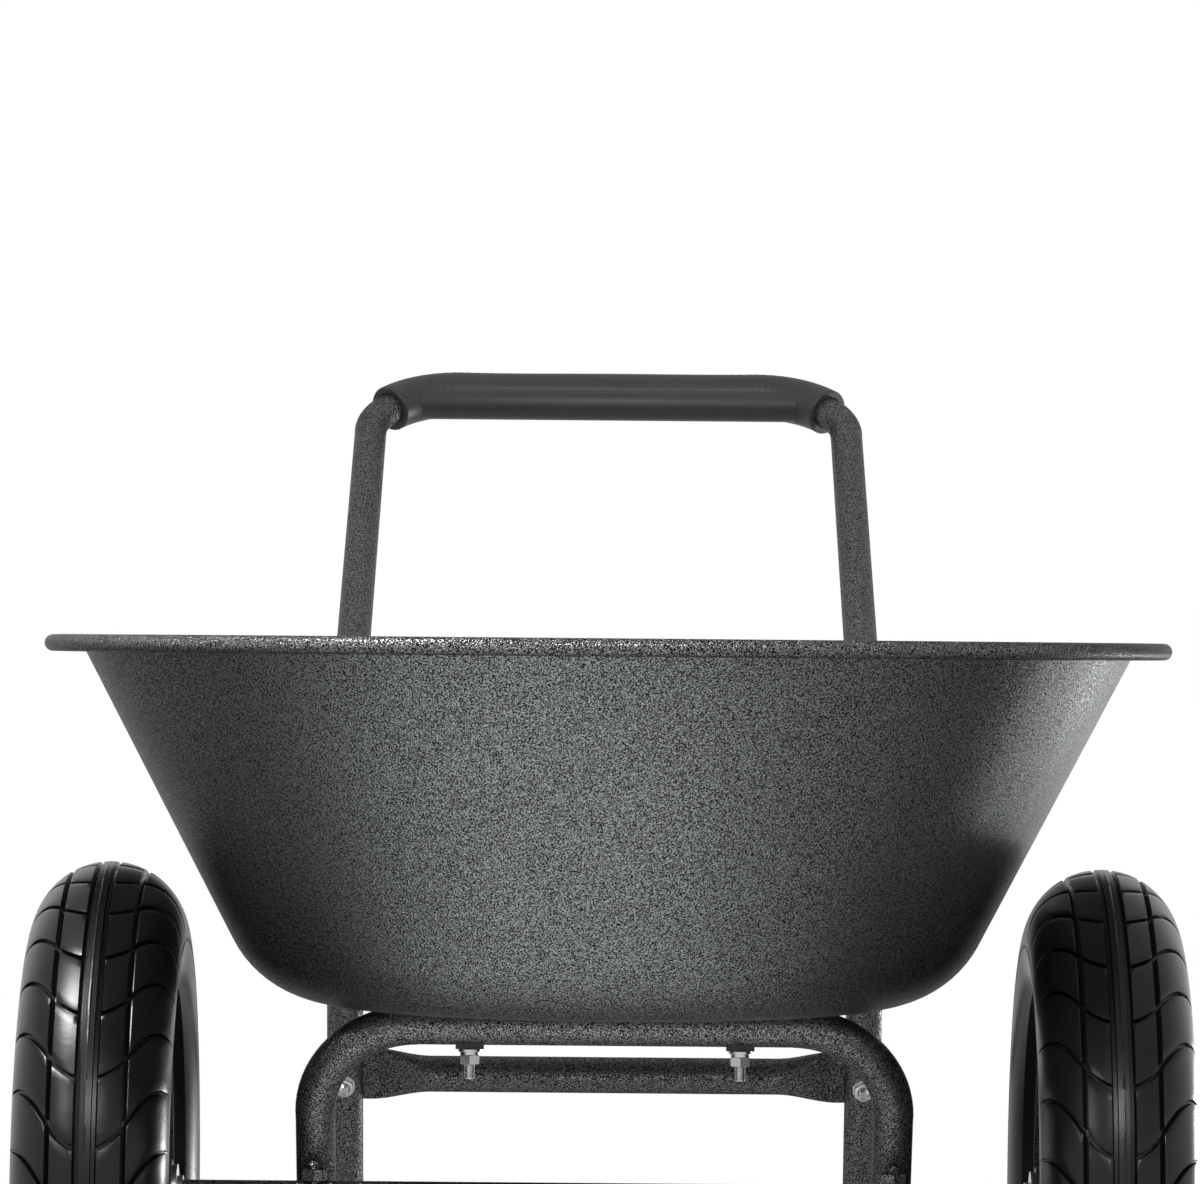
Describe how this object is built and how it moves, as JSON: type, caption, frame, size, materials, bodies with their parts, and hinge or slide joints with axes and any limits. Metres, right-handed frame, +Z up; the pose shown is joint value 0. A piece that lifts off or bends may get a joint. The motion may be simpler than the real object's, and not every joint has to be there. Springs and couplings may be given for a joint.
{
  "type": "two wheel wheelbarrow",
  "caption": "Garden wheelbarrow with a deep oval steel tray on a bent tube frame, pneumatic wheels on a through axle, rear legs with feet and a loop handle with a foam grip.",
  "frame": {"origin": "on the ground, under the middle of the object's bounding box", "axes": "+Z up, +Y from the wheels to the handle, +X to the right of a viewer who faces the front of the tray"},
  "size_m": [0.627, 1.3477, 0.659],
  "materials": {
    "tray_paint": "dark grey hammertone, semi-gloss",
    "frame_paint": "black hammertone, semi-gloss",
    "rim_paint": "dark grey hammertone, semi-gloss",
    "zinc": "zinc plated",
    "tyre_rubber": "new shiny rubber",
    "tube_rubber": "smooth rubber",
    "foam": "matte closed cell foam",
    "black_plastic": "matte"
  },
  "bodies": {
    "chassis": {"tray_bottom": "tray_paint", "tray_bend": "tray_paint", "tray_wall": "tray_paint", "base_frame": "frame_paint", "left_rear_leg": "frame_paint", "right_rear_leg": "frame_paint", "cross_brace": "frame_paint", "left_arm": "frame_paint", "right_arm": "frame_paint", "handle_loop": "frame_paint", "foam_grip": "foam", "tray_strap": "frame_paint", "axle": "frame_paint", "left_axle_seat": "frame_paint", "right_axle_seat": "frame_paint", "axle_bolts": "frame_paint", "axle_nuts": "frame_paint", "tray_bolts": "zinc", "tray_saddles": "black_plastic", "tray_washers": "zinc", "tray_spring_washers": "zinc", "tray_nuts": "zinc", "brace_bolts": "zinc", "brace_washers": "zinc", "brace_nuts": "zinc", "leg_bolts": "zinc", "leg_nuts": "zinc", "stretcher_bolts": "zinc", "stretcher_nuts": "zinc", "handle_bolts": "zinc", "handle_nuts": "zinc", "left_foot": "black_plastic", "right_foot": "black_plastic", "inner_washers": "zinc", "axle_collars": "zinc", "outer_washers": "zinc", "split_pins": "zinc"},
    "left_wheel": {"left_tyre": "tyre_rubber", "left_inner_tube": "tube_rubber", "left_rim_inner": "rim_paint", "left_rim_outer": "rim_paint", "left_hub": "rim_paint", "left_bearing_inner": "zinc", "left_bearing_outer": "zinc", "left_valve_stem": "tube_rubber", "left_valve_cap": "black_plastic", "left_rim_bolts": "zinc", "left_rim_nuts": "zinc"},
    "right_wheel": {"right_tyre": "tyre_rubber", "right_inner_tube": "tube_rubber", "right_rim_inner": "rim_paint", "right_rim_outer": "rim_paint", "right_hub": "rim_paint", "right_bearing_inner": "zinc", "right_bearing_outer": "zinc", "right_valve_stem": "tube_rubber", "right_valve_cap": "black_plastic", "right_rim_bolts": "zinc", "right_rim_nuts": "zinc"}
  },
  "joints": [
    {"name": "left_wheel_spin", "type": "hinge", "parent": "chassis", "child": "left_wheel", "pos_m": [-0.2655, -0.32791, 0.1775], "axis": [1, 0, 0], "continuous": true},
    {"name": "right_wheel_spin", "type": "hinge", "parent": "chassis", "child": "right_wheel", "pos_m": [0.2655, -0.32791, 0.1775], "axis": [1, 0, 0], "continuous": true}
  ]
}
